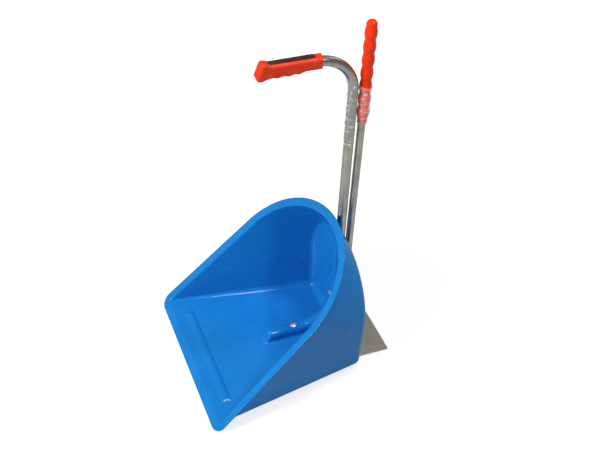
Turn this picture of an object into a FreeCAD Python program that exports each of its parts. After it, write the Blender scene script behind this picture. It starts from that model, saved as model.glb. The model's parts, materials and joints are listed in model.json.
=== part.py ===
import FreeCAD, Part

import math
import os

import Sketcher
from FreeCAD import Placement, Rotation, Vector

# A long-handled scoop with its scraper, in millimetres.
# The scoop is drawn square to its own floor: X across the lip, Y from the lip to the back, Z up.
# It is then tipped by rest_tilt, so that the lip and the heel both touch the ground.
# The scraper is drawn upright on its own axis and then leant back behind the scoop.

doc = FreeCAD.newDocument("ScoopAndScraper")
sizes = doc.addObject("Spreadsheet::Sheet", "Sizes")

DRIVING_SIZES = (
    ("lip_width", 420, "Width of the scoop over its lip"),
    ("rim_slope", 45, "Angle between the floor and the plane of the mouth"),
    ("rim_taper", 4, "Lean of each straight leg of the rim, inwards"),
    ("rim_arch_centre", 279.4, "Centre of the rim's arch, up the slope from the lip"),
    ("flange_width", 19, "Width of the flange round the mouth"),
    ("flange_thick", 3.2, "Thickness of the flange"),
    ("flange_round", 1.4, "Rounding of the flange's outer edges"),
    ("lip_corner", 26, "Corner radius of the lip, seen square to the flange"),
    ("wall_thick", 3.2, "Thickness of the moulded walls"),
    ("back_depth", 354, "Inside of the back wall, behind the lip"),
    ("back_width", 268.6, "Inside width of the back wall at the floor"),
    ("back_draft", 4, "Lean of each side of the back wall, outwards"),
    ("back_arch_centre", 132, "Centre of the back wall's arch, above the lip"),
    ("front_corner", 5, "Inside corner radius between the floor and the sides, at the mouth"),
    ("back_corner", 16, "Inside corner radius between the floor and the sides, at the back wall"),
    ("back_fillet", 14, "Inside fillet round the back wall"),
    ("mouth_round", 6, "Rounding between the flange and the walls inside the mouth"),
    ("strip_front", 32, "Front of the raised strip on the floor, behind the lip"),
    ("strip_depth", 30, "Front to back size of the raised strip"),
    ("strip_length", 290, "Length of the raised strip, across the floor"),
    ("strip_height", 2.4, "Height of the raised strip"),
    ("strip_slope", 68, "Slope of the strip's edges, from upright"),
    ("strip_round", 12, "Rounding of the strip's upper edges"),
    ("tube_dia", 20, "Outside diameter of the scoop's tube"),
    ("tube_wall", 1.5, "Wall of the scoop's tube"),
    ("tube_bend", 75, "Centre-line radius of both bends"),
    ("tube_start", 204, "Lower end of the tube, behind the lip"),
    ("tube_low", 26, "Centre line of the tube's lower run, above the lip"),
    ("tube_back", 348.3, "Centre line of the tube's upright, behind the lip"),
    ("tube_high", 714.2, "Centre line of the tube's top run, above the lip"),
    ("tube_end", 162, "Upper end of the tube, behind the lip"),
    ("rib_gap", 0.4, "Gap between the tube and the rib over it"),
    ("rib_wall", 3, "Wall of the rib over the tube"),
    ("rib_corner", 12, "Outside corner radius of the rib"),
    ("rib_round", 6, "Rounding of the rib's foot and of its front end"),
    ("rib_slope", 70, "Slope of the rib's front end, from level"),
    ("rib_front", 181, "Foot of the rib's sloping front end, behind the lip"),
    ("rib_top", 360, "Upper end of the rib's sweep, clear of the roof"),
    ("rivet_hole", 6.6, "Diameter of the rivet holes"),
    ("rivet_shank", 6.4, "Diameter of the rivets"),
    ("rivet_head", 17.5, "Diameter of the rivets' domed heads"),
    ("rivet_rim", 0.9, "Thickness of a rivet's head at its rim"),
    ("rivet_dome", 2.8, "Height of a rivet's domed head"),
    ("rivet_bulb", 9.6, "Diameter of a rivet's set end inside the tube"),
    ("rivet_play", 0.2, "Gap between a rivet's set end and the tube's inside"),
    ("rivet_swell", 1.8, "Length over which the set end swells to its full diameter"),
    ("rivet_band", 1.6, "Length of the set end at its full diameter"),
    ("rivet_reach", 11.5, "Length of a rivet below its head"),
    ("rivet_pin", 3.6, "Diameter of a rivet's broken-off pin"),
    ("rivet_sunk", 0.8, "Depth of the pin's broken end below the top of the head"),
    ("pin_ball", 2.9, "Radius of the pin's larger end"),
    ("pin_tip", 1.4, "Height of the point under the pin's larger end"),
    ("pin_neck", 1.6, "Length of the pin's larger end"),
    ("floor_rivet_back", 251, "Floor rivet, behind the lip"),
    ("back_rivet_high", 110, "Back rivet, above the lip"),
    ("grip_back", 279.6, "Open end of the handle grip, behind the lip"),
    ("grip_tip", 151, "Closed end of the handle grip, behind the lip"),
    ("grip_width", 25, "Width of the handle grip"),
    ("grip_top", 13.2, "Top of the handle grip, above its axis"),
    ("grip_flare", 16.8, "Top of the grip's flared tip, above its axis"),
    ("grip_under", 16.2, "Underside of the grip's finger ridges, below its axis"),
    ("grip_rear_top", 12.4, "Top of the grip's open end, above its axis"),
    ("grip_rear_under", 12.2, "Underside of the grip's open end, below its axis"),
    ("grip_nose_top", 12, "Upper edge of the grip's closed end, above its axis"),
    ("grip_nose_under", 10, "Lower edge of the grip's closed end, below its axis"),
    ("grip_nose_back", 8, "Upper edge of the grip's closed end, behind its tip"),
    ("grip_chin", 3, "Front of the chin under the grip's closed end, behind its tip"),
    ("grip_chin_rear", 12, "Rear of the chin, behind the grip's tip"),
    ("grip_chin_under", 18.8, "Underside of the chin, below the grip's axis"),
    ("grip_ridge_front", 19, "Front of the finger ridges, behind the grip's tip"),
    ("grip_crest_front", 10, "Front of the flare's crest, behind the grip's tip"),
    ("grip_crest_rear", 16, "Rear of the flare's crest, behind the grip's tip"),
    ("grip_flare_foot", 28, "Foot of the flare, behind the grip's tip"),
    ("grip_ridge_rear", 80.6, "Rear of the finger ridges, behind the grip's tip"),
    ("grip_step_rear", 94.6, "Foot of the step behind the finger ridges, behind the grip's tip"),
    ("grip_step_under", 11.9, "Underside of the grip behind the step, below its axis"),
    ("grip_nose_round", 4, "Rounding across the grip's closed end"),
    ("grip_round", 7, "Rounding of the grip's long edges"),
    ("finger_count", 3, "Number of finger grooves"),
    ("finger_first", 29, "First finger groove, behind the grip's tip"),
    ("finger_pitch", 22, "Spacing of the finger grooves"),
    ("finger_radius", 13.5, "Radius of the finger grooves"),
    ("finger_depth", 4.8, "Depth of the finger grooves"),
    ("inlay_back", 266, "Rear end of the inlay, behind the lip"),
    ("inlay_length", 92, "Length of the inlay"),
    ("inlay_width", 13, "Width of the inlay"),
    ("inlay_depth", 2.4, "Depth of the inlay's recess in the grip"),
    ("inlay_proud", 0.6, "Height of the inlay above the grip"),
    ("inlay_corner", 6, "Corner radius of the inlay"),
    ("rest_tilt", 2.019, "Tilt of the scoop's floor as it stands on the ground"),
    ("rest_lift", 1.763, "Height of the lip's upper edge as it stands"),
    ("centre_shift", 217.91, "From the lip to the middle of the set's footprint"),
    ("pole_dia", 16, "Outside diameter of the scraper's tube"),
    ("pole_wall", 1.2, "Wall of the scraper's tube"),
    ("pole_length", 752, "Upper end of the scraper's tube, above the blade's underside"),
    ("pole_back", 368.2, "Foot of the scraper's axis, behind the lip"),
    ("pole_lift", 2.818, "Height of the blade's underside on the scraper's axis"),
    ("pole_lean", 2.5, "Backward lean of the scraper as it stands"),
    ("pole_turn", 0.5, "Turn of the scraper about its own axis, clockwise from above"),
    ("blade_width", 236, "Width of the scraper's blade"),
    ("blade_front", 9, "Blade in front of the scraper's axis"),
    ("blade_rear", 66, "Blade behind the scraper's axis"),
    ("blade_sheet", 2.5, "Thickness of the scraper's blade"),
    ("blade_bevel", 1.4, "Bevel on the blade's working edge"),
    ("blade_corner", 3, "Corner radius of the blade"),
    ("weld_leg", 2.8, "Leg of the weld between the blade and the scraper's tube"),
    ("handle_foot", 549, "Lower end of the ribbed grip, above the blade's underside"),
    ("handle_top", 768, "Top of the ribbed grip, above the blade's underside"),
    ("handle_collar", 9.4, "Radius of the ribbed grip's collar"),
    ("collar_length", 8, "Length of the ribbed grip's collar"),
    ("collar_flare", 7, "Length over which the collar widens to the core"),
    ("handle_dome", 8, "Rounding of the ribbed grip's top"),
    ("handle_core", 10.4, "Radius of the ribbed grip between its bulges"),
    ("handle_bulge", 12.3, "Radius of the ribbed grip's bulges"),
    ("bulge_first", 573.8, "Centre of the lowest bulge, above the blade's underside"),
    ("bulge_pitch", 28.1, "Spacing of the bulges"),
    ("bulge_count", 7, "Number of bulges"),
    ("bulge_length", 24, "Length of a bulge along the grip"),
)

for row, (alias, value, meaning) in enumerate(DRIVING_SIZES, start=1):
    sizes.set(f"A{row}", meaning)
    sizes.set(f"B{row}", str(value))
    sizes.setAlias(f"B{row}", alias)
doc.recompute()

# Geometry numbers of a sketch's own axes, and the numbers of a curve's points.
X_AXIS, Y_AXIS, ORIGIN = -1, -2, -1
START, END, CENTRE = 1, 2, 3
# Two places that are nearer than this count as the same.
CLOSE = 0.05


def number(expression):
    """Value of an expression over the sheet's cells."""
    value = sizes.evalExpression(expression)
    return float(getattr(value, "Value", value))


def add_body(name, label=None):
    body = doc.addObject("PartDesign::Body", name)
    body.Label = label or name
    return body


def add_feature(body, kind, name):
    return body.newObject(f"PartDesign::{kind}", name)


def add_sketch(body, name, role, shift=None, turn=None):
    """A sketch on one of the body's own planes.

    shift moves it along the plane's normal, and turn turns it about its own X axis.
    """
    sketch = body.newObject("Sketcher::SketchObject", name)
    plane = next(item for item in body.Origin.OriginFeatures if item.Role == role)
    sketch.AttachmentSupport = (plane, "")
    sketch.MapMode = "FlatFace"
    if turn is not None:
        sketch.AttachmentOffset = Placement(Vector(), Rotation(Vector(1, 0, 0), number(turn)))
        sketch.setExpression(".AttachmentOffset.Rotation.Angle", turn)
    if shift is not None:
        sketch.setExpression(".AttachmentOffset.Base.z", shift)
    return sketch


def constrain(sketch, *terms):
    return sketch.addConstraint(Sketcher.Constraint(*terms))


def dimension(sketch, kind, *terms, expression):
    """A named dimension that is tied to the sheet."""
    value = number(expression)
    index = constrain(sketch, kind, *terms, value)
    name = f"size_{index}"
    sketch.renameConstraint(index, name)
    sketch.setExpression(f"Constraints.{name}", expression)


def place_point(sketch, geometry, point, x, y):
    """Fix a point of a curve at a pair of expressions, each "0" or a size."""
    for kind, axis, expression in (("DistanceX", Y_AXIS, x), ("DistanceY", X_AXIS, y)):
        if expression == "0":
            constrain(sketch, "PointOnObject", geometry, point, axis)
        else:
            dimension(sketch, kind, ORIGIN, START, geometry, point, expression=expression)


def draw_polygon(sketch, corners, arcs=None):
    """A closed outline that runs anticlockwise through corners, which are pairs of expressions.

    arcs gives the radius of each side that bulges outwards, by the number of its first corner.
    """
    arcs = arcs or {}
    points = [Vector(number(x), number(y), 0) for x, y in corners]
    first = sketch.GeometryCount
    count = len(points)
    for index, start in enumerate(points):
        end = points[(index + 1) % count]
        if index in arcs:
            radius = number(arcs[index])
            half_chord = (end - start) * 0.5
            inwards = Vector(-half_chord.y, half_chord.x, 0).normalize()
            centre = start + half_chord + inwards * math.sqrt(radius ** 2 - half_chord.Length ** 2)
            angles = [math.atan2(point.y - centre.y, point.x - centre.x) for point in (start, end)]
            circle = Part.Circle(centre, Vector(0, 0, 1), radius)
            sketch.addGeometry(Part.ArcOfCircle(circle, *angles))
        else:
            sketch.addGeometry(Part.LineSegment(start, end))
    for index, (x, y) in enumerate(corners):
        following = first + (index + 1) % count
        constrain(sketch, "Coincident", first + index, END, following, START)
        place_point(sketch, first + index, START, x, y)
        if index in arcs:
            dimension(sketch, "Radius", first + index, expression=arcs[index])


def draw_circle(sketch, radius, x="0", y="0"):
    circle = Part.Circle(Vector(number(x), number(y), 0), Vector(0, 0, 1), number(radius))
    geometry = sketch.addGeometry(circle)
    place_point(sketch, geometry, CENTRE, x, y)
    dimension(sketch, "Radius", geometry, expression=radius)


def draw_outline(sketch, base_height, base_half, arch_centre, lean, corner):
    """A level base, rounded corners, two leaning sides and an arch, each tangent to the next.

    All five are expressions. base_half runs to where the sides would meet the base, and lean is
    positive where the sides lean inwards.
    """
    rise = f"(({arch_centre}) - ({base_height}))"
    radius = f"({base_half}) * cos({lean}) - {rise} * sin({lean})"
    flat_half = f"({base_half}) - ({corner}) / tan(45 - ({lean}) / 2)"
    base, half, centre = number(base_height), number(flat_half), number(arch_centre)
    arch, bend, angle = number(radius), number(corner), math.radians(number(lean))
    normal = Vector(math.cos(angle), math.sin(angle), 0)
    spring = Vector(0, centre, 0) + normal * arch
    corner_centre = Vector(half, base + bend, 0)
    corner_end = corner_centre + normal * bend

    def mirrored(point):
        return Vector(-point.x, point.y, 0)

    upwards = Vector(0, 0, 1)
    right_circle = Part.Circle(corner_centre, upwards, bend)
    arch_circle = Part.Circle(Vector(0, centre, 0), upwards, arch)
    left_circle = Part.Circle(mirrored(corner_centre), upwards, bend)
    floor = sketch.addGeometry(Part.LineSegment(Vector(-half, base, 0), Vector(half, base, 0)))
    right_corner = sketch.addGeometry(Part.ArcOfCircle(right_circle, -math.pi / 2, angle))
    right_side = sketch.addGeometry(Part.LineSegment(corner_end, spring))
    arc = sketch.addGeometry(Part.ArcOfCircle(arch_circle, angle, math.pi - angle))
    left_side = sketch.addGeometry(Part.LineSegment(mirrored(spring), mirrored(corner_end)))
    left_corner = sketch.addGeometry(Part.ArcOfCircle(left_circle, math.pi - angle, math.pi * 1.5))
    chain = (floor, right_corner, right_side, arc, left_side, left_corner)
    for before, after in zip(chain, chain[1:] + chain[:1]):
        constrain(sketch, "Tangent", before, END, after, START)
    constrain(sketch, "Horizontal", floor)
    constrain(sketch, "PointOnObject", arc, CENTRE, Y_AXIS)
    dimension(sketch, "DistanceX", ORIGIN, START, floor, END, expression=flat_half)
    dimension(sketch, "DistanceX", floor, START, floor, END, expression=f"2 * ({flat_half})")
    dimension(sketch, "DistanceY", ORIGIN, START, floor, START, expression=base_height)
    dimension(sketch, "DistanceY", ORIGIN, START, arc, CENTRE, expression=arch_centre)
    dimension(sketch, "Radius", arc, expression=radius)
    dimension(sketch, "Radius", right_corner, expression=corner)
    dimension(sketch, "Radius", left_corner, expression=corner)


def edges_where(shape, test):
    """Names of the edges that pass a test."""
    return [f"Edge{index}" for index, edge in enumerate(shape.Edges, start=1) if test(edge)]


def add_fillet(body, base, test, radius, kind="Fillet"):
    """Round or bevel the edges of a feature that pass a test."""
    doc.recompute()
    edges = edges_where(base.Shape, test)
    feature = add_feature(body, kind, base.Name + kind)
    feature.Base = (base, edges)
    feature.setExpression("Radius" if kind == "Fillet" else "Size", radius)
    return feature


def add_pad(body, name, sketch, length, **settings):
    pad = add_feature(body, "Pad", name)
    pad.Profile = sketch
    pad.setExpression("Length", length)
    for setting, value in settings.items():
        setattr(pad, setting, value)
    return pad


def add_pocket(body, name, sketch, length=None, **settings):
    """Cut a sketch out of the body, through everything where no length is given."""
    pocket = add_feature(body, "Pocket", name)
    pocket.Profile = sketch
    if length is None:
        pocket.Type = "ThroughAll"
    else:
        pocket.setExpression("Length", length)
    for setting, value in settings.items():
        setattr(pocket, setting, value)
    return pocket


def add_revolution(body, name, sketch):
    """Turn a sketch about its own vertical axis."""
    revolution = add_feature(body, "Revolution", name)
    revolution.Profile = sketch
    revolution.ReferenceAxis = (sketch, ["V_Axis"])
    revolution.Angle = 360
    return revolution


def combine(kind, name, base, tool):
    result = doc.addObject(f"Part::{kind}", name)
    result.Base = base
    result.Tool = tool
    return result


def merge(name, *shapes):
    result = doc.addObject("Part::MultiFuse", name)
    result.Shapes = list(shapes)
    return result


def round_edges(name, base, test, radius):
    """Round the edges of a shape whose three sample points pass a test."""
    doc.recompute()
    rounded = doc.addObject("Part::Fillet", name)
    rounded.Base = base
    size = number(radius)
    edges = []
    for index, edge in enumerate(base.Shape.Edges, start=1):
        first, last = edge.FirstParameter, edge.LastParameter
        if test([edge.valueAt(parameter) for parameter in (first, (first + last) / 2, last)]):
            edges.append((index, size, size))
    rounded.Edges = edges
    return rounded


# The floor meets the flange at the flange's inner edge.
FLOOR_HIGH = "Sizes.flange_width * sin(Sizes.rim_slope)"


def rim_outline(sketch, inset, base, corner):
    """The mouth's outline in the plane of the rim, inset from the flange's outer edge."""
    taper = "Sizes.rim_taper"
    half = f"Sizes.lip_width / 2 - ({base}) * tan({taper}) - ({inset}) / cos({taper})"
    draw_outline(sketch, base, half, "Sizes.rim_arch_centre", taper, corner)


def back_outline(sketch, outset):
    """The back wall's outline, outset from its inner face's edge."""
    draft = "Sizes.back_draft"
    half = f"Sizes.back_width / 2 + ({outset}) / cos({draft}) - ({outset}) * tan({draft})"
    draw_outline(sketch, f"{FLOOR_HIGH} - ({outset})", half, "Sizes.back_arch_centre", f"-{draft}",
                 f"Sizes.back_corner + ({outset})")


def pan_wedge(name, outset):
    """The solid between the mouth and the back wall, with its lower and back edges rounded."""
    body = add_body(name)
    mouth = add_sketch(body, f"{name}Mouth", "XY_Plane", turn="Sizes.rim_slope")
    rim_outline(mouth, f"Sizes.flange_width - ({outset})",
                f"Sizes.flange_width - ({outset}) / sin(Sizes.rim_slope)",
                f"Sizes.front_corner + ({outset})")
    back = add_sketch(body, f"{name}Back", "XZ_Plane", shift=f"-(Sizes.back_depth + ({outset}))")
    back_outline(back, outset)
    doc.recompute()
    loft = add_feature(body, "AdditiveLoft", f"{name}Loft")
    loft.Profile = back
    loft.Sections = [mouth]
    loft.Ruled = True
    doc.recompute()
    depth = loft.Shape.BoundBox.YMax

    def on_back(edge):
        return edge.BoundBox.YMin > depth - CLOSE

    add_fillet(body, loft, on_back, f"Sizes.back_fillet + ({outset})")
    return body


def draw_run(sketch, corners):
    """A line through corners with square turns to the left, rounded to the tube's bend.

    corners are pairs of expressions. The first run is level, the next upright, and so on.
    """
    bend = number("Sizes.tube_bend")
    points = [Vector(number(y), number(z), 0) for y, z in corners]
    ways = [(end - start).normalize() for start, end in zip(points, points[1:])]
    last = len(ways) - 1
    runs = []
    for index, way in enumerate(ways):
        start = points[index] + (way * bend if index > 0 else Vector())
        end = points[index + 1] - (way * bend if index < last else Vector())
        if runs:
            centre = start + Vector(-way.y, way.x, 0) * bend
            angle = math.atan2(way.y, way.x)
            circle = Part.Circle(centre, Vector(0, 0, 1), bend)
            arc = Part.ArcOfCircle(circle, angle - math.pi, angle - math.pi / 2)
            runs.append(sketch.addGeometry(arc))
        runs.append(sketch.addGeometry(Part.LineSegment(start, end)))
    for before, after in zip(runs, runs[1:]):
        constrain(sketch, "Tangent", before, END, after, START)
    for arc in runs[1::2]:
        dimension(sketch, "Radius", arc, expression="Sizes.tube_bend")
    for index, run in enumerate(runs[::2]):
        y, z = corners[index]
        if index % 2 == 0:
            constrain(sketch, "Horizontal", run)
            dimension(sketch, "DistanceY", ORIGIN, START, run, START, expression=z)
        else:
            constrain(sketch, "Vertical", run)
            dimension(sketch, "DistanceX", ORIGIN, START, run, START, expression=y)
    dimension(sketch, "DistanceX", ORIGIN, START, runs[0], START, expression=corners[0][0])
    end_kind, end_size = ("DistanceX", corners[-1][0]) if last % 2 == 0 else ("DistanceY", corners[-1][1])
    dimension(sketch, end_kind, ORIGIN, START, runs[-1], END, expression=end_size)


def add_sweep(body, name, profile, path):
    sweep = add_feature(body, "AdditivePipe", name)
    sweep.Profile = profile
    sweep.Spine = path
    return sweep


def rib_block(name, half, corner, front):
    """The rib's sweep along the tube's lower bend, open downwards and backwards.

    half is its half width, and front is where its sloping end meets the floor.
    """
    body = add_body(name)
    path = add_sketch(body, f"{name}Path", "YZ_Plane")
    draw_run(path, (("Sizes.rib_front", "Sizes.tube_low"),
                    ("Sizes.tube_back", "Sizes.tube_low"),
                    ("Sizes.tube_back", "Sizes.rib_top")))
    profile = add_sketch(body, f"{name}Profile", "XZ_Plane", shift="-Sizes.rib_front")
    top = f"Sizes.tube_low + ({half})"
    base = "Sizes.tube_low - Sizes.tube_bend"
    draw_polygon(profile, ((f"-({half})", base), (half, base), (half, f"{top} - ({corner})"),
                           (f"{half} - ({corner})", top), (f"-({half}) + ({corner})", top),
                           (f"-({half})", f"{top} - ({corner})")),
                 arcs={2: corner, 4: corner})
    doc.recompute()
    add_sweep(body, f"{name}Sweep", profile, path)
    slope = add_sketch(body, f"{name}Slope", "YZ_Plane")
    reach = "Sizes.tube_bend"
    advance = f"{reach} / tan(Sizes.rib_slope)"
    draw_polygon(slope, ((f"{front} - {advance}", f"{FLOOR_HIGH} - {reach}"),
                         (f"{front} + {advance}", f"{FLOOR_HIGH} + {reach}"),
                         (f"{front} - {reach}", f"{FLOOR_HIGH} + {reach}")))
    doc.recompute()
    add_pocket(body, f"{name}Front", slope, Midplane=True)
    return body


def add_drill(name, y, z, tilt):
    """A cylinder as wide as a rivet hole, from the tube's centre line outwards."""
    drill = doc.addObject("Part::Cylinder", name)
    drill.setExpression("Radius", "Sizes.rivet_hole / 2")
    drill.setExpression("Height", "2 * Sizes.tube_dia")
    drill.Placement = Placement(Vector(), Rotation(Vector(1, 0, 0), tilt))
    drill.setExpression(".Placement.Base.y", y)
    drill.setExpression(".Placement.Base.z", z)
    return drill


UPWARDS, FORWARDS = 0, 90
floor_drill = add_drill("FloorDrill", "Sizes.floor_rivet_back", "Sizes.tube_low", UPWARDS)
back_drill = add_drill("BackDrill", "Sizes.tube_back", "Sizes.back_rivet_high", FORWARDS)


def build_flange():
    """The flat flange round the mouth, with rounded lip corners."""
    body = add_body("Flange")
    outline = add_sketch(body, "FlangeOutline", "XY_Plane", turn="Sizes.rim_slope")
    rim_outline(outline, "0", "0", "Sizes.lip_corner")
    doc.recompute()
    plate = add_pad(body, "FlangePlate", outline, "Sizes.flange_thick", Reversed=True)
    thick = number("Sizes.flange_thick")

    def outer_edge(edge):
        return edge.Length > 2 * thick

    add_fillet(body, plate, outer_edge, "Sizes.flange_round")
    opening = add_sketch(body, "FlangeOpening", "XY_Plane", turn="Sizes.rim_slope")
    rim_outline(opening, "Sizes.flange_width", "Sizes.flange_width", "Sizes.front_corner")
    doc.recompute()
    add_pocket(body, "FlangePocket", opening, Midplane=True)
    return body


def build_strip():
    """The low raised strip on the floor, just inside the lip."""
    body = add_body("Strip")
    outline = add_sketch(body, "StripOutline", "XY_Plane", shift=f"{FLOOR_HIGH} - Sizes.wall_thick / 2")
    half, front = "Sizes.strip_length / 2", "Sizes.strip_front"
    rear = "Sizes.strip_front + Sizes.strip_depth"
    draw_polygon(outline, ((f"-{half}", front), (half, front), (half, rear), (f"-{half}", rear)))
    doc.recompute()
    pad = add_pad(body, "StripPad", outline, "Sizes.strip_height + Sizes.wall_thick / 2")
    pad.setExpression("TaperAngle", "-Sizes.strip_slope")
    doc.recompute()
    top = pad.Shape.BoundBox.ZMax

    def at_top(edge):
        return edge.BoundBox.ZMin > top - CLOSE

    add_fillet(body, pad, at_top, "Sizes.strip_round")
    return body


def build_pan():
    """The moulded pan: walls, flange, strip, and the rib over the tube with its rivet holes."""
    casing = pan_wedge("Casing", "Sizes.wall_thick")
    cavity = pan_wedge("Cavity", "0")
    rib_half = "(Sizes.tube_dia / 2 + Sizes.rib_gap + Sizes.rib_wall)"
    groove_half = "(Sizes.tube_dia / 2 + Sizes.rib_gap)"
    rib = rib_block("Rib", rib_half, "Sizes.rib_corner", "Sizes.rib_front")
    groove = rib_block("Groove", groove_half, "(Sizes.rib_corner - Sizes.rib_wall)",
                       "(Sizes.rib_front + Sizes.rib_wall / sin(Sizes.rib_slope))")
    hollow = combine("Cut", "Hollow", cavity, rib)
    walls = combine("Cut", "Walls", casing, hollow)
    moulding = merge("Moulding", walls, build_flange(), build_strip())
    opening = doc.getObject("FlangeOpening")
    floor, depth = number(FLOOR_HIGH), number("Sizes.back_depth")
    side, front = number(rib_half), number("Sizes.rib_front")
    arch, corner = number("Sizes.back_arch_centre"), number("Sizes.back_fillet")
    steep = number("tan(Sizes.rib_slope)")

    def at_mouth(points):
        """The inner edge of the flange."""
        return all(opening.Shape.distToShape(Part.Vertex(point))[0] < CLOSE for point in points)

    def at_rib(points):
        """The rib's foot on the floor and the back wall, and the outline of its sloping front."""
        on_slope = all(abs((point.z - floor) - (point.y - front) * steep) < CLOSE for point in points)
        on_side = all(abs(abs(point.x) - side) < CLOSE for point in points)
        on_floor = all(abs(point.z - floor) < CLOSE for point in points)
        on_back = points[0].y + points[-1].y > 2 * depth - corner - CLOSE
        low = min(point.z for point in points)
        return low > floor - CLOSE and (on_slope or on_side and (on_floor or on_back and low < arch))

    mouth = round_edges("RoundedMouth", moulding, at_mouth, "Sizes.mouth_round")
    rounded = round_edges("RoundedRib", mouth, at_rib, "Sizes.rib_round")
    cutters = merge("Cutters", groove, floor_drill, back_drill)
    return combine("Cut", "scoop_pan", rounded, cutters)


def tube_rod(name, radius):
    """A solid rod of any radius along the scoop's tube, for its outside, its bore or its seat."""
    body = add_body(name)
    path = add_sketch(body, f"{name}Path", "YZ_Plane")
    draw_run(path, (("Sizes.tube_start", "Sizes.tube_low"),
                    ("Sizes.tube_back", "Sizes.tube_low"),
                    ("Sizes.tube_back", "Sizes.tube_high"),
                    ("Sizes.tube_end", "Sizes.tube_high")))
    profile = add_sketch(body, f"{name}Profile", "XZ_Plane", shift="-Sizes.tube_start")
    draw_circle(profile, radius, y="Sizes.tube_low")
    doc.recompute()
    add_sweep(body, f"{name}Sweep", profile, path)
    return body


tube_outside = tube_rod("TubeOutside", "Sizes.tube_dia / 2")


def build_tube():
    """The bent tube: under the floor, up behind the back wall and forwards again at the top."""
    bore = tube_rod("TubeBore", "Sizes.tube_dia / 2 - Sizes.tube_wall")
    cutters = merge("TubeCutters", bore, floor_drill, back_drill)
    return combine("Cut", "handle_tube", tube_outside, cutters)


def build_rivet(name):
    """A large-headed blind rivet, drawn upright with the underside of its head at the origin."""
    body = add_body(name)
    pin, shank = "Sizes.rivet_pin / 2", "Sizes.rivet_shank / 2"
    head, bulb = "Sizes.rivet_head / 2", "Sizes.rivet_bulb / 2"
    grip = "-(Sizes.rib_wall + Sizes.rib_gap + Sizes.tube_wall + Sizes.rivet_play)"
    swell = f"{grip} - Sizes.rivet_swell"
    profile = add_sketch(body, f"{name}Profile", "XZ_Plane")
    draw_polygon(profile, ((pin, "-Sizes.rivet_reach"), (shank, "-Sizes.rivet_reach"),
                           (bulb, f"{swell} - Sizes.rivet_band"), (bulb, swell), (shank, grip),
                           (shank, "0"), (head, "0"), (head, "Sizes.rivet_rim"), (pin, "Sizes.rivet_dome")),
                 arcs={7: "Sizes.rivet_head"})
    doc.recompute()
    add_revolution(body, f"{name}Turned", profile)
    return body


def build_rivet_pin(name):
    """The part of the rivet's pin that stays inside it, with its larger pointed end."""
    body = add_body(name)
    pin, ball = "Sizes.rivet_pin / 2", "Sizes.pin_ball"
    profile = add_sketch(body, f"{name}Profile", "XZ_Plane")
    top, low = "Sizes.rivet_dome - Sizes.rivet_sunk", "-Sizes.rivet_reach"
    neck = f"{low} - Sizes.pin_neck"
    draw_polygon(profile, (("0", f"{neck} - Sizes.pin_tip"), (ball, neck), (ball, low), (pin, low),
                           (pin, top), ("0", top)))
    doc.recompute()
    add_revolution(body, f"{name}Turned", profile)
    return body


def build_grip():
    """The handle grip, before the bore and the inlay's recess are cut."""
    body = add_body("GripStock")
    side = add_sketch(body, "GripSide", "YZ_Plane")
    high, tip, back = "Sizes.tube_high", "Sizes.grip_tip", "Sizes.grip_back"
    draw_polygon(side, ((f"{tip} + Sizes.grip_chin", f"{high} - Sizes.grip_chin_under"),
                        (f"{tip} + Sizes.grip_chin_rear", f"{high} - Sizes.grip_chin_under"),
                        (f"{tip} + Sizes.grip_ridge_front", f"{high} - Sizes.grip_under"),
                        (f"{tip} + Sizes.grip_ridge_rear", f"{high} - Sizes.grip_under"),
                        (f"{tip} + Sizes.grip_step_rear", f"{high} - Sizes.grip_step_under"),
                        (back, f"{high} - Sizes.grip_rear_under"),
                        (back, f"{high} + Sizes.grip_rear_top"),
                        (f"{tip} + Sizes.grip_flare_foot", f"{high} + Sizes.grip_top"),
                        (f"{tip} + Sizes.grip_crest_rear", f"{high} + Sizes.grip_flare"),
                        (f"{tip} + Sizes.grip_crest_front", f"{high} + Sizes.grip_flare"),
                        (f"{tip} + Sizes.grip_nose_back", f"{high} + Sizes.grip_nose_top"),
                        (tip, f"{high} - Sizes.grip_nose_under")))
    doc.recompute()
    block = add_pad(body, "GripBlock", side, "Sizes.grip_width", Midplane=True)

    nose = number(f"{tip} + Sizes.grip_crest_rear")

    def across_nose(edge):
        return edge.BoundBox.XLength > CLOSE and edge.BoundBox.YMax < nose + CLOSE

    def runs_along(edge):
        return edge.BoundBox.XLength < CLOSE

    rounded = add_fillet(body, block, across_nose, "Sizes.grip_nose_round")
    add_fillet(body, rounded, runs_along, "Sizes.grip_round")
    grooves = add_sketch(body, "FingerGrooves", "YZ_Plane")
    for index in range(round(number("Sizes.finger_count"))):
        draw_circle(grooves, "Sizes.finger_radius",
                    x=f"{tip} + Sizes.finger_first + {index} * Sizes.finger_pitch",
                    y=f"{high} - Sizes.grip_under - Sizes.finger_radius + Sizes.finger_depth")
    doc.recompute()
    add_pocket(body, "FingerPocket", grooves, Midplane=True)
    return body


def build_inlay(name, height):
    """The soft strip in the grip's top, or the recess for it where the height is larger."""
    body = add_body(name)
    outline = add_sketch(body, f"{name}Outline", "XY_Plane",
                         shift="Sizes.tube_high + Sizes.grip_top - Sizes.inlay_depth")
    half, rear = "Sizes.inlay_width / 2", "Sizes.inlay_back"
    front = "Sizes.inlay_back - Sizes.inlay_length"
    draw_polygon(outline, ((f"-{half}", front), (half, front), (half, rear), (f"-{half}", rear)))
    doc.recompute()
    block = add_pad(body, f"{name}Block", outline, height)

    def upright(edge):
        return edge.BoundBox.ZLength > CLOSE

    add_fillet(body, block, upright, "Sizes.inlay_corner")
    return body


def build_handle_grip(recess):
    cutters = merge("GripCutters", tube_outside, recess)
    return combine("Cut", "handle_grip", build_grip(), cutters)


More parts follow.
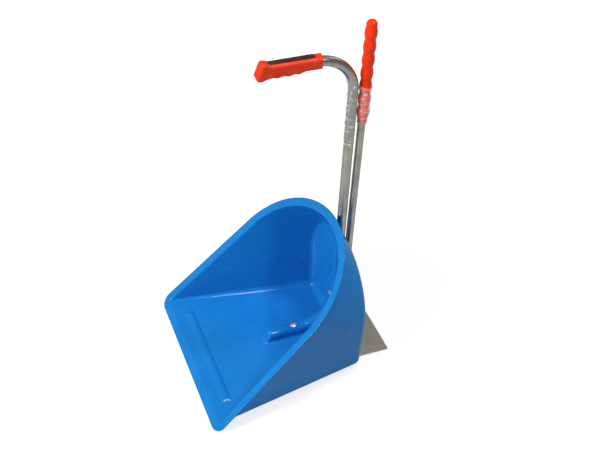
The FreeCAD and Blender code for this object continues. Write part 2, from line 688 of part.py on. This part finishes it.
def build_pole():
    """The scraper's straight tube, standing on the blade."""
    body = add_body("scraper_tube")
    profile = add_sketch(body, "PoleProfile", "XY_Plane", shift="Sizes.blade_sheet")
    draw_circle(profile, "Sizes.pole_dia / 2")
    draw_circle(profile, "Sizes.pole_dia / 2 - Sizes.pole_wall")
    doc.recompute()
    add_pad(body, "PolePad", profile, "Sizes.pole_length - Sizes.blade_sheet")
    return body


def build_blade():
    """The flat blade, bevelled underneath along its working edge."""
    body = add_body("scraper_blade")
    outline = add_sketch(body, "BladeOutline", "XY_Plane")
    half, front, rear = "Sizes.blade_width / 2", "-Sizes.blade_front", "Sizes.blade_rear"
    draw_polygon(outline, ((f"-{half}", front), (half, front), (half, rear), (f"-{half}", rear)))
    doc.recompute()
    plate = add_pad(body, "BladePlate", outline, "Sizes.blade_sheet")

    def upright(edge):
        return edge.BoundBox.ZLength > CLOSE

    def working_edge(edge):
        return edge.BoundBox.ZMax < CLOSE and edge.BoundBox.YMin > number(rear) - CLOSE

    corners = add_fillet(body, plate, upright, "Sizes.blade_corner")
    add_fillet(body, corners, working_edge, "Sizes.blade_bevel", kind="Chamfer")
    return body


def build_weld():
    """The weld that runs round the foot of the scraper's tube."""
    body = add_body("blade_weld")
    profile = add_sketch(body, "WeldProfile", "XZ_Plane")
    inner = "Sizes.pole_dia / 2"
    draw_polygon(profile, ((inner, "Sizes.blade_sheet"),
                           (f"{inner} + Sizes.weld_leg", "Sizes.blade_sheet"),
                           (inner, "Sizes.blade_sheet + Sizes.weld_leg")),
                 arcs={1: "3 * Sizes.weld_leg"})
    doc.recompute()
    add_revolution(body, "WeldBead", profile)
    edge = add_sketch(body, "WeldTrim", "XY_Plane")
    far = "4 * Sizes.pole_dia"
    front = "-Sizes.blade_front"
    draw_polygon(edge, ((f"-{far}", f"-{far}"), (far, f"-{far}"), (far, front), (f"-{far}", front)))
    doc.recompute()
    add_pocket(body, "WeldFlat", edge, Midplane=True)
    return body


def build_ribbed_grip():
    """The ribbed grip: a round-topped core with evenly spaced bulges, over the top of the tube."""
    body = add_body("RibbedStock")
    core = add_sketch(body, "CoreProfile", "XZ_Plane")
    collar, waist = "Sizes.handle_collar", "Sizes.handle_core"
    foot, top = "Sizes.handle_foot", "Sizes.handle_top"
    shoulder = f"{foot} + Sizes.collar_length"
    draw_polygon(core, (("0", foot), (collar, foot), (collar, shoulder),
                        (waist, f"{shoulder} + Sizes.collar_flare"), (waist, top), ("0", top)))
    doc.recompute()
    turned = add_revolution(body, "CoreTurned", core)
    crown = number(top)

    def at_top(edge):
        return edge.BoundBox.ZMin > crown - CLOSE

    add_fillet(body, turned, at_top, "Sizes.handle_dome")
    ring = add_sketch(body, "BulgeProfile", "XZ_Plane")
    half = "Sizes.bulge_length / 2"
    height = "(Sizes.handle_bulge - Sizes.handle_core)"
    low, high = f"Sizes.bulge_first - {half}", f"Sizes.bulge_first + {half}"
    draw_polygon(ring, ((collar, low), (waist, low), (waist, high), (collar, high)),
                 arcs={1: f"(({half}) ^ 2 + {height} ^ 2) / (2 * {height})"})
    doc.recompute()
    bulge = add_revolution(body, "Bulge", ring)
    doc.recompute()
    pattern = add_feature(body, "LinearPattern", "Bulges")
    pattern.Originals = [bulge]
    pattern.Direction = (next(item for item in body.Origin.OriginFeatures if item.Role == "Z_Axis"), [""])
    pattern.setExpression("Length", "Sizes.bulge_pitch * (Sizes.bulge_count - 1)")
    pattern.setExpression("Occurrences", "Sizes.bulge_count")
    body.Tip = pattern
    doc.recompute()
    bore = doc.addObject("Part::Cylinder", "RibbedBore")
    bore.setExpression("Radius", "Sizes.pole_dia / 2")
    bore.setExpression("Height", "Sizes.pole_length - Sizes.handle_foot + Sizes.pole_dia")
    bore.setExpression(".Placement.Base.z", "Sizes.handle_foot - Sizes.pole_dia")
    return combine("Cut", "scraper_grip", body, bore)


def stand(piece, turn=0, y="0", z="0"):
    """Put a piece of the scoop where it stands on the ground.

    It is turned about X, put at y and z in the scoop's square frame, and tipped with the scoop.
    """
    tilt = "Sizes.rest_tilt"
    back = f"({y}) * cos({tilt}) + ({z}) * sin({tilt}) - Sizes.centre_shift"
    up = f"({z}) * cos({tilt}) - ({y}) * sin({tilt}) + Sizes.rest_lift"
    rotation = f"rotation(vector(1; 0; 0); {turn} - {tilt})"
    piece.setExpression("Placement", f"placement(vector(0; {back}; {up}); {rotation})")


def lean(piece):
    """Put a piece of the scraper where it leans behind the scoop, turned about its own axis."""
    base = "vector(0; Sizes.pole_back - Sizes.centre_shift; Sizes.pole_lift)"
    tipped = "rotation(vector(1; 0; 0); -Sizes.pole_lean)"
    turned = "rotation(vector(0; 0; 1); -Sizes.pole_turn)"
    piece.setExpression("Placement", f"placement({base}; {turned} * {tipped})")


rib_outside = "Sizes.tube_dia / 2 + Sizes.rib_gap + Sizes.rib_wall"
rivet_seats = {
    "floor_rivet": (0, "Sizes.floor_rivet_back", f"Sizes.tube_low + {rib_outside}"),
    "back_rivet": (90, f"Sizes.tube_back - ({rib_outside})", "Sizes.back_rivet_high"),
}

scoop_pieces = [
    build_pan(),
    build_tube(),
    build_handle_grip(build_inlay("InlayRecess", "3 * Sizes.inlay_depth")),
    build_inlay("grip_inlay", "Sizes.inlay_depth + Sizes.inlay_proud"),
]
for piece in scoop_pieces:
    stand(piece)
for name, (turn, y, z) in rivet_seats.items():
    rivet_pieces = [build_rivet(name), build_rivet_pin(f"{name}_pin")]
    for piece in rivet_pieces:
        stand(piece, turn, y, z)
    scoop_pieces.extend(rivet_pieces)

scraper_pieces = [build_pole(), build_ribbed_grip(), build_blade(), build_weld()]
for piece in scraper_pieces:
    lean(piece)

doc.recompute()
for item in doc.Objects:
    if "Invalid" in item.State or "Error" in item.State:
        raise RuntimeError(f"{item.Name} did not recompute: {item.State}")

os.makedirs("parts", exist_ok=True)
for piece in scoop_pieces + scraper_pieces:
    if piece.Shape.isNull() or not piece.Shape.isValid() or len(piece.Shape.Solids) != 1:
        raise RuntimeError(f"{piece.Label} is not one valid solid")
    piece.Shape.exportStep(f"parts/{piece.Label}.step")
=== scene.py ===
import json
import math

import bmesh
import bpy
from mathutils import Matrix, Vector, noise


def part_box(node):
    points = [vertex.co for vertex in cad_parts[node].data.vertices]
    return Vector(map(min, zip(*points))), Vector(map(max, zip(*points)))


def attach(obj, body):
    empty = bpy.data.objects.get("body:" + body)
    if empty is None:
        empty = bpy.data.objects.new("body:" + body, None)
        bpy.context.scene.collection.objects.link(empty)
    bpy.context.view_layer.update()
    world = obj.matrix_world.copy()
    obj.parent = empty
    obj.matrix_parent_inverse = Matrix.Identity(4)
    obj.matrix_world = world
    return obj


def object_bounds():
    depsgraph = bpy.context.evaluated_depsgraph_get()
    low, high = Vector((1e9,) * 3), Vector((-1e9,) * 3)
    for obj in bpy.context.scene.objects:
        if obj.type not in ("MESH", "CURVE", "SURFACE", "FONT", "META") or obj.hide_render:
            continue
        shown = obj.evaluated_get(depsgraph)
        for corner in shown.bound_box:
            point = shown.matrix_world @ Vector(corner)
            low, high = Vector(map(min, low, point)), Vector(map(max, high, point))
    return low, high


# The looks of a stable scoop and its scraper: camera, soft light, materials, studs and packing film.
# Lengths are in metres and angles in degrees, in the row frame: Z up, -Y towards the scoop's lip.
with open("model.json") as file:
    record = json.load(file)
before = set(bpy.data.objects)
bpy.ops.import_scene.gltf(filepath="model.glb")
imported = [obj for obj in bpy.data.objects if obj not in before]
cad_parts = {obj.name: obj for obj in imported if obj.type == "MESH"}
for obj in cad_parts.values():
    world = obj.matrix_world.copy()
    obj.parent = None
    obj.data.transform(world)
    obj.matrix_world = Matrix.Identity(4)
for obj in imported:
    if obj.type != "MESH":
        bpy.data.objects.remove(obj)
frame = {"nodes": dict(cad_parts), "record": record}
cad_low, cad_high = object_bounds()
nodes = frame["nodes"]
centre = (cad_low + cad_high) / 2
scene = bpy.context.scene


def link_object(name, data):
    """A new object of the scene."""
    item = bpy.data.objects.new(name, data)
    scene.collection.objects.link(item)
    return item


# ---------------------------------------------------------------- camera

CAMERA_AZIMUTH = 68.2
CAMERA_ELEVATION = 40.86
CAMERA_ROLL = 0.58
CAMERA_DISTANCE = 1.948
CAMERA_LENS = 58.3
CAMERA_SENSOR = 36.0
CAMERA_REACH = 100.0
AIM_FROM_CENTRE = Vector((0.0376, 0.0324, -0.0262))


def direction(azimuth, elevation):
    """Unit vector from the object towards a viewer at these angles."""
    turn, rise = math.radians(azimuth), math.radians(elevation)
    flat = math.cos(rise)
    return Vector((math.sin(turn) * flat, -math.cos(turn) * flat, math.sin(rise)))


def add_camera():
    """The camera, at the measured angles and aimed a little off the centre."""
    towards = direction(CAMERA_AZIMUTH, CAMERA_ELEVATION)
    data = bpy.data.cameras.new("camera")
    data.lens = CAMERA_LENS
    data.sensor_width = CAMERA_SENSOR
    data.clip_end = CAMERA_REACH
    camera = link_object("camera", data)
    roll = Matrix.Rotation(math.radians(CAMERA_ROLL), 3, "Z")
    turned = towards.to_track_quat("Z", "Y").to_matrix() @ roll
    place = centre + AIM_FROM_CENTRE + towards * CAMERA_DISTANCE
    camera.matrix_world = Matrix.Translation(place) @ turned.to_4x4()
    scene.camera = camera


# ---------------------------------------------------------------- light and floor

WHITE = (1.0, 1.0, 1.0, 1.0)
# The world and the floor shine brighter to the camera than they do on the object.
WORLD_GLOW_ON_OBJECT = 0.17
WORLD_GLOW_SEEN = 0.85
FLOOR_GLOW_ON_OBJECT = 0.20
FLOOR_GLOW_SEEN = 0.74
# Each light's name, azimuth, elevation, distance, size and power in watts.
LIGHTS = (
    ("key_light", 10, 36, 4.0, 1.3, 134),
    ("top_light", 170, 80, 4.0, 0.6, 46),
    ("glint_light", 122, 54, 3.0, 0.24, 22),
    ("rear_light", 200, 35, 4.0, 2.0, 14),
)
FLOOR_HALF = 40.0
FLOOR_GAP = 0.0004
FLOOR_DARK = (0.36, 0.36, 0.36)
FLOOR_LIGHT = (0.38, 0.38, 0.38)
FLOOR_ROUGHNESS = 0.7


def add_light(name, azimuth, elevation, distance, size, power):
    """A square area light that faces the object from these angles."""
    data = bpy.data.lights.new(name, "AREA")
    data.shape = "SQUARE"
    data.size = size
    data.energy = power
    lamp = link_object(name, data)
    towards = direction(azimuth, elevation)
    lamp.location = centre + towards * distance
    lamp.rotation_euler = towards.to_track_quat("Z", "Y").to_euler()


def add_world():
    """An even white surround, and plain colours that keep the strong blue and orange."""
    world = bpy.data.worlds.new("studio")
    world.use_nodes = True
    background = world.node_tree.nodes["Background"]
    background.inputs["Color"].default_value = WHITE
    glow = world.node_tree.nodes.new("ShaderNodeMapRange")
    glow.inputs["To Min"].default_value = WORLD_GLOW_ON_OBJECT
    glow.inputs["To Max"].default_value = WORLD_GLOW_SEEN
    seen = world.node_tree.nodes.new("ShaderNodeLightPath").outputs["Is Camera Ray"]
    world.node_tree.links.new(seen, glow.inputs["Value"])
    world.node_tree.links.new(glow.outputs["Result"], background.inputs["Strength"])
    scene.world = world
    scene.view_settings.view_transform = "Standard"


def add_floor():
    """A plain pale floor, just under the lowest point of the object."""
    data = bpy.data.meshes.new("floor")
    height = cad_low.z - FLOOR_GAP
    corners = [(x * FLOOR_HALF, y * FLOOR_HALF, height) for x, y in ((-1, -1), (1, -1), (1, 1), (-1, 1))]
    data.from_pydata(corners, [], [(0, 1, 2, 3)])
    floor = link_object("floor", data)
    paint = Surface("floor_paint")
    paint.link(paint.mottled(1.5, FLOOR_DARK, FLOOR_LIGHT, detail=2.0), "Base Color")
    paint.set(Roughness=FLOOR_ROUGHNESS, Emission_Color=WHITE)
    seen = paint.tree.nodes.new("ShaderNodeLightPath").outputs["Is Camera Ray"]
    glow = paint.ramp(seen, FLOOR_GLOW_ON_OBJECT, FLOOR_GLOW_SEEN, from_low=0.0, from_high=1.0)
    paint.link(glow, "Emission Strength")
    data.materials.append(paint.material)


# ---------------------------------------------------------------- material tools

class Surface:
    """A Principled material with a few helpers for procedural detail in object space."""

    def __init__(self, name):
        self.material = bpy.data.materials.new(name)
        self.material.use_nodes = True
        self.tree = self.material.node_tree
        self.shader = self.tree.nodes["Principled BSDF"]
        coordinates = self.tree.nodes.new("ShaderNodeTexCoord")
        self.place = coordinates.outputs["Object"]

    def set(self, **values):
        """Plain values on the shader's own sockets, with _ for a space in a socket's name."""
        for name, value in values.items():
            self.shader.inputs[name.replace("_", " ")].default_value = value

    def link(self, output, name):
        """Drive one of the shader's sockets."""
        self.tree.links.new(output, self.shader.inputs[name])

    def scaled_place(self, scale):
        """Object coordinates stretched by a factor along each axis."""
        mapping = self.tree.nodes.new("ShaderNodeMapping")
        mapping.inputs["Scale"].default_value = scale
        self.tree.links.new(self.place, mapping.inputs["Vector"])
        return mapping.outputs["Vector"]

    def noise(self, scale, detail=3.0, stretch=None, roughness=0.5):
        """Noise from 0 to 1, in features of about 1 / scale metres."""
        node = self.tree.nodes.new("ShaderNodeTexNoise")
        node.inputs["Scale"].default_value = scale
        node.inputs["Detail"].default_value = detail
        node.inputs["Roughness"].default_value = roughness
        source = self.scaled_place(stretch) if stretch else self.place
        self.tree.links.new(source, node.inputs["Vector"])
        return node.outputs["Fac"]

    def ramp(self, value, low, high, from_low=0.35, from_high=0.65):
        """Map a value between two limits on to another two, with no overshoot."""
        node = self.tree.nodes.new("ShaderNodeMapRange")
        node.inputs["From Min"].default_value = from_low
        node.inputs["From Max"].default_value = from_high
        node.inputs["To Min"].default_value = low
        node.inputs["To Max"].default_value = high
        self.tree.links.new(value, node.inputs["Value"])
        return node.outputs["Result"]

    def combine(self, operation, first, second):
        """A sum or product of an output with another output or a plain number."""
        node = self.tree.nodes.new("ShaderNodeMath")
        node.operation = operation
        self.tree.links.new(first, node.inputs[0])
        if isinstance(second, (int, float)):
            node.inputs[1].default_value = second
        else:
            self.tree.links.new(second, node.inputs[1])
        return node.outputs["Value"]

    def blend(self, factor, first, second):
        """A colour that runs from the first to the second; each is a colour or an output."""
        node = self.tree.nodes.new("ShaderNodeMix")
        node.data_type = "RGBA"
        self.tree.links.new(factor, node.inputs["Factor"])
        for name, colour in (("A", first), ("B", second)):
            socket = next(s for s in node.inputs if s.name == name and s.type == "RGBA")
            if isinstance(colour, tuple):
                socket.default_value = (*colour, 1.0)
            else:
                self.tree.links.new(colour, socket)
        return next(s for s in node.outputs if s.type == "RGBA")

    def bump(self, height, distance, strength=1.0, under=None):
        """Bump from a height of 0 to 1, over another bump where one is given."""
        node = self.tree.nodes.new("ShaderNodeBump")
        node.inputs["Distance"].default_value = distance
        node.inputs["Strength"].default_value = strength
        self.tree.links.new(height, node.inputs["Height"])
        if under is not None:
            self.tree.links.new(under, node.inputs["Normal"])
        return node.outputs["Normal"]

    def soft_edges(self, radius):
        """A normal that rounds sharp edges by a small radius."""
        node = self.tree.nodes.new("ShaderNodeBevel")
        node.samples = 6
        node.inputs["Radius"].default_value = radius
        return node.outputs["Normal"]

    def mottled(self, scale, deep, pale, detail=4.0):
        """A colour that drifts between two tones."""
        return self.blend(self.ramp(self.noise(scale, detail), 0.0, 1.0), deep, pale)

    def uneven_gloss(self, scale, detail, least, most):
        """Roughness that drifts between two values."""
        self.link(self.ramp(self.noise(scale, detail), least, most), "Roughness")


GLOSSIER, DULLER = 0.85, 1.2
SCUFF_COLOUR = (0.14, 0.42, 0.80)
ALONG_SCUFFS = (1.0, 0.07, 0.25)
ROUND_FILM = (1.0, 1.0, 1.7)
PLASTIC_GLEAM = 0.26
RUBBER_GLEAM = 0.3
RUBBER_GLOSSIER = 0.8
METAL_DULLER = 1.25
METAL_GLOSSIER = 0.8


def moulded_plastic(name, deep, pale, gleam, rough, grain, edge, scuff):
    """Moulded plastic: faintly mottled colour, uneven gloss, fine grain and gentle waves.

    gleam tints what it reflects when seen square on, and scuff is the strength of fine pale scratches.
    """
    surface = Surface(name)
    worn = surface.ramp(surface.noise(30.0, detail=2.0), 0.0, 1.0, from_low=0.45, from_high=0.6)
    lines = surface.noise(330.0, detail=2.0, stretch=ALONG_SCUFFS)
    lines = surface.ramp(lines, 0.0, scuff, from_low=0.62, from_high=0.78)
    scuffs = surface.combine("MULTIPLY", worn, lines)
    plain = surface.mottled(9.0, deep, pale)
    surface.link(surface.blend(scuffs, plain, SCUFF_COLOUR), "Base Color")
    surface.uneven_gloss(35.0, detail=5.0, least=rough * GLOSSIER, most=rough * DULLER)
    waves = surface.bump(surface.noise(14.0, detail=1.0), distance=0.0012, strength=0.30,
                         under=surface.soft_edges(edge))
    fine = surface.bump(surface.noise(1400.0, detail=2.0), distance=grain, strength=0.4, under=waves)
    surface.link(fine, "Normal")
    surface.set(Specular_IOR_Level=PLASTIC_GLEAM, Specular_Tint=(*gleam, 1.0))
    return surface


def drawn_metal(name, dark, light, rough, stretch, edge):
    """Drawn or rolled metal: streaks along its length, cloudy patches and fine pits."""
    surface = Surface(name)
    surface.set(Metallic=1.0)
    streaks = surface.noise(90.0, detail=5.0, stretch=stretch)
    streaks = surface.ramp(streaks, 0.0, 1.0, from_low=0.3, from_high=0.7)
    patches = surface.noise(22.0, detail=5.0, roughness=0.62)
    patches = surface.ramp(patches, 0.0, 1.0, from_low=0.38, from_high=0.66)
    both = surface.combine("MULTIPLY", surface.combine("ADD", streaks, patches), 0.5)
    surface.link(surface.blend(both, dark, light), "Base Color")
    gloss = surface.ramp(both, rough * METAL_DULLER, rough * METAL_GLOSSIER, from_low=0.0, from_high=1.0)
    surface.link(gloss, "Roughness")
    lines = surface.bump(streaks, distance=0.00012, strength=0.5, under=surface.soft_edges(edge))
    pits = surface.bump(surface.noise(800.0), distance=0.00008, strength=0.5, under=lines)
    surface.link(pits, "Normal")
    return surface


def soft_rubber(name, deep, pale, rough, edge):
    """Soft grip rubber: fine leathery grain and slightly worn, shinier patches."""
    surface = Surface(name)
    surface.link(surface.mottled(40.0, deep, pale), "Base Color")
    surface.uneven_gloss(55.0, detail=4.0, least=rough * RUBBER_GLOSSIER, most=rough * DULLER)
    fine = surface.bump(surface.noise(2200.0, detail=2.0), distance=0.0001, strength=0.6,
                        under=surface.soft_edges(edge))
    leather = surface.bump(surface.noise(500.0), distance=0.00012, strength=0.35, under=fine)
    surface.link(leather, "Normal")
    surface.set(Specular_IOR_Level=RUBBER_GLEAM)
    return surface


def clear_film(name, clear, milky_and_glint):
    """Thin crinkled film with sharp highlights; its opacity runs from clear to an opaque white at the
    folds, partly the film's own whitening and partly painted glints.
    """
    surface = Surface(name)
    surface.set(Base_Color=(0.96, 0.96, 0.96, 1.0), Roughness=0.10, IOR=1.5)
    folds = surface.noise(85.0, detail=4.0, stretch=ROUND_FILM, roughness=0.6)
    # Painted glints: the opaque white at the fold ridges partly stands in for glints on the film.
    surface.link(surface.ramp(folds, clear, milky_and_glint, from_low=0.54, from_high=0.66), "Alpha")
    crinkles = surface.noise(120.0, detail=4.0, roughness=0.6)
    surface.link(surface.bump(crinkles, distance=0.0040), "Normal")
    return surface


def give(surface, *names):
    """Put a material on CAD nodes."""
    for name in names:
        slots = nodes[name].data.materials
        slots.clear()
        slots.append(surface.material)


def add_smooth_piece(name, body, data, surface):
    """A new smooth piece that moves with a body."""
    data.polygons.foreach_set("use_smooth", [True] * len(data.polygons))
    data.materials.append(surface.material)
    piece = link_object(name, data)
    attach(piece, body)
    return piece


# ---------------------------------------------------------------- the tubes' and grips' shapes

TUBE_RADIUS = 0.010
TUBE_TILT = math.radians(2.019)
BEND_RADIUS = 0.075
BEND_DEPTH = 0.0915
POLE_RADIUS = 0.008
COLLAR_RADIUS = 0.0094
COLLAR_TOP = 0.010
COLLAR_STEP = 0.004
CORE_RADIUS = 0.0104
BULGE_HEIGHT = 0.0019
BULGE_HALF = 0.012
BULGE_FIRST = 0.0248
BULGE_PITCH = 0.0281

grip_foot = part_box("scraper_grip")[0].z
tube_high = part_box("handle_tube")[1]
bend_start = tube_high.z - BEND_DEPTH
pole_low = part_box("scraper_tube")[0]
pole_axis = Vector(frame["record"]["behaviour"]["joints"][0]["axis"])


def bend_slope(height):
    """Sine of the tube's lean inside its upper bend, and 0 below the bend."""
    return max(0.0, height - bend_start) / BEND_RADIUS


def tube_axis(height):
    """Centre of the scoop's upright at a height, and a little way into its upper bend."""
    upright = tube_high.y - TUBE_RADIUS - (bend_start - height) * math.tan(TUBE_TILT)
    inwards = BEND_RADIUS * (1.0 - math.sqrt(1.0 - bend_slope(height) ** 2))
    return Vector((0.0, upright - inwards, height))


def tube_girth(height):
    """Radius of the scoop's tube in a level cut."""
    return TUBE_RADIUS / math.sqrt(1.0 - bend_slope(height) ** 2)


def pole_centre(height):
    """Centre of the scraper's tube and grip at a height."""
    foot = Vector((0.0, pole_low.y + POLE_RADIUS, pole_low.z))
    return foot + pole_axis * ((height - pole_low.z) / pole_axis.z)


def grip_girth(height):
    """Radius of the ribbed grip at a height, and of the tube just below it."""
    along = height - grip_foot
    if along < 0.0:
        share = min(1.0, -along / COLLAR_STEP)
        return COLLAR_RADIUS + (POLE_RADIUS - COLLAR_RADIUS) * share
    if along < COLLAR_TOP:
        return COLLAR_RADIUS
    nearest = BULGE_FIRST + BULGE_PITCH * max(0, round((along - BULGE_FIRST) / BULGE_PITCH))
    offset = (along - nearest) / BULGE_HALF
    return CORE_RADIUS + BULGE_HEIGHT * max(0.0, 1.0 - offset ** 2)


# ---------------------------------------------------------------- the film

FILM_RINGS = 150
FILM_COLUMNS = 108
FILM_GAP = 0.0004
FILM_SLACK = 0.0022
FILM_LEAST_FOLD = 0.0003
FILM_RAGGED_EDGE = 0.006
EDGE_WAVES = 1.6
EDGE_SHIFT = 9.0
FOLDS_ALONG = 42.0
BROAD_FOLDS = 2.1
FINE_FOLDS = 5.3
FINE_SHIFT = Vector((7.0, 3.0, 1.0))
BROAD_SHARE = 0.65
FINE_SHARE = 0.35


def round_about(angle, height=0.0):
    """The direction at an angle round an upright axis, with a height."""
    return Vector((math.cos(angle), math.sin(angle), height))


def fold_height(around, along, seed):
    """Sharp creases, from 0 to 1, at an angle round a sleeve and a height along it."""
    point = round_about(around, along * FOLDS_ALONG + seed)
    broad = 1.0 - abs(noise.noise(point * BROAD_FOLDS))
    fine = 1.0 - abs(noise.noise(point * FINE_FOLDS + FINE_SHIFT))
    return BROAD_SHARE * broad ** 5 + FINE_SHARE * fine ** 6


def add_sleeve(name, body, axis_at, radius_at, facing, low, high, seed, surface):
    """A loose film sleeve round an upright piece.

    axis_at and radius_at give the piece's centre and radius at a height, and facing is the angle
    of the neighbour that the folds keep clear of.
    """
    points, faces = [], []
    for ring in range(FILM_RINGS + 1):
        share = ring / FILM_RINGS
        for column in range(FILM_COLUMNS):
            around = 2 * math.pi * column / FILM_COLUMNS
            outwards = round_about(around)
            ragged = noise.noise(outwards * EDGE_WAVES + Vector((0.0, 0.0, seed + EDGE_SHIFT)))
            height = low + (high - low) * share + FILM_RAGGED_EDGE * ragged * (2 * share - 1)
            away = 0.5 - 0.5 * math.cos(around - facing)
            room = FILM_LEAST_FOLD + FILM_SLACK * away ** 1.5
            radius = radius_at(height) + FILM_GAP + room * fold_height(around, height, seed)
            points.append(axis_at(height) + outwards * radius)
    for ring in range(FILM_RINGS):
        low_row, high_row = ring * FILM_COLUMNS, (ring + 1) * FILM_COLUMNS
        for column in range(FILM_COLUMNS):
            after = (column + 1) % FILM_COLUMNS
            faces.append((low_row + column, low_row + after, high_row + after, high_row + column))
    data = bpy.data.meshes.new(name)
    data.from_pydata(points, [], faces)
    add_smooth_piece(name, body, data, surface)


# ---------------------------------------------------------------- the studs

STUD_PITCH = 0.0030
STUD_RADIUS = 0.0009
STUD_HEIGHT = 0.0005
STUD_MARGIN = 1.6 * STUD_RADIUS
STUD_COLUMNS = range(-2, 3)


def add_studs(name, body, plate, surface):
    """Low round studs in rows on a round-ended plate's sloping top, each a closed flattened ball."""
    low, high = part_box(plate)
    half_width = (high.x - low.x) / 2
    shape = Matrix.Diagonal((STUD_RADIUS, STUD_RADIUS, STUD_HEIGHT, 1.0))
    studs = bmesh.new()
    for row in range(1, int((high.y - low.y) / STUD_PITCH)):
        y = low.y + row * STUD_PITCH
        z = high.z - (y - low.y) * math.tan(TUBE_TILT)
        past_end = max(0.0, low.y + half_width - y, y - high.y + half_width)
        for column in STUD_COLUMNS:
            x = (column + 0.5 * (row % 2)) * STUD_PITCH
            if math.hypot(x, past_end) <= half_width - STUD_MARGIN:
                place = Matrix.Translation((x, y, z)) @ shape
                bmesh.ops.create_uvsphere(studs, u_segments=12, v_segments=8, radius=1.0, matrix=place)
    data = bpy.data.meshes.new(name)
    studs.to_mesh(data)
    studs.free()
    piece = add_smooth_piece(name, body, data, surface)


# ---------------------------------------------------------------- assembly

EVEN = (1.0, 1.0, 1.0)
ALONG_TUBE = (1.0, 1.0, 0.06)
ALONG_BLADE = (0.08, 1.0, 1.0)

add_camera()
add_world()
for light in LIGHTS:
    add_light(*light)
add_floor()

blue_plastic = moulded_plastic("blue_plastic", deep=(0.008, 0.195, 0.57), pale=(0.012, 0.220, 0.63),
                               gleam=(0.7, 0.85, 1.0), rough=0.11, grain=0.00003, edge=0.0012, scuff=0.3)
bright_tube = drawn_metal("bright_tube", dark=(0.34, 0.33, 0.30), light=(0.58, 0.56, 0.51),
                          rough=0.26, stretch=ALONG_TUBE, edge=0.0004)
blade_steel = drawn_metal("blade_steel", dark=(0.46, 0.445, 0.38), light=(0.60, 0.58, 0.50),
                          rough=0.42, stretch=ALONG_BLADE, edge=0.0004)
weld_metal = drawn_metal("weld_metal", dark=(0.24, 0.235, 0.225), light=(0.42, 0.41, 0.39),
                         rough=0.5, stretch=EVEN, edge=0.0006)
rivet_metal = drawn_metal("rivet_metal", dark=(0.74, 0.73, 0.71), light=(0.90, 0.89, 0.87),
                          rough=0.38, stretch=EVEN, edge=0.0005)
pin_steel = drawn_metal("pin_steel", dark=(0.30, 0.30, 0.31), light=(0.46, 0.46, 0.47),
                        rough=0.4, stretch=EVEN, edge=0.0002)
orange_rubber = soft_rubber("orange_rubber", deep=(0.74, 0.034, 0.005), pale=(0.84, 0.050, 0.006),
                            rough=0.42, edge=0.0008)
ribbed_plastic = moulded_plastic("ribbed_plastic", deep=(0.90, 0.034, 0.002), pale=(1.0, 0.046, 0.003),
                                 gleam=(1.0, 0.9, 0.85), rough=0.18, grain=0.00004, edge=0.0006, scuff=0.0)
dark_inlay = soft_rubber("dark_inlay", deep=(0.022, 0.010, 0.009), pale=(0.040, 0.012, 0.010),
                         rough=0.45, edge=0.0005)
worn_studs = soft_rubber("worn_studs", deep=(0.050, 0.014, 0.011), pale=(0.20, 0.034, 0.022),
                         rough=0.40, edge=0.0001)
# The opaque white folds of both films are partly painted glints.
tube_film = clear_film("tube_film", clear=0.05, milky_and_glint=0.90)
grip_film = clear_film("grip_film", clear=0.20, milky_and_glint=0.85)

give(blue_plastic, "scoop_pan")
give(bright_tube, "handle_tube", "scraper_tube")
give(blade_steel, "scraper_blade")
give(weld_metal, "blade_weld")
give(rivet_metal, "floor_rivet", "back_rivet")
give(pin_steel, "floor_rivet_pin", "back_rivet_pin")
give(orange_rubber, "handle_grip")
give(ribbed_plastic, "scraper_grip")
give(dark_inlay, "grip_inlay")

add_studs("inlay_studs", "scoop", "grip_inlay", worn_studs)
add_sleeve("tube_film", "scoop", tube_axis, tube_girth, facing=math.pi / 2,
           low=bend_start - 0.125, high=bend_start + 0.022, seed=2.0, surface=tube_film)
add_sleeve("grip_film", "scraper", pole_centre, grip_girth, facing=-math.pi / 2,
           low=grip_foot - 0.005, high=grip_foot + 0.083, seed=5.0, surface=grip_film)
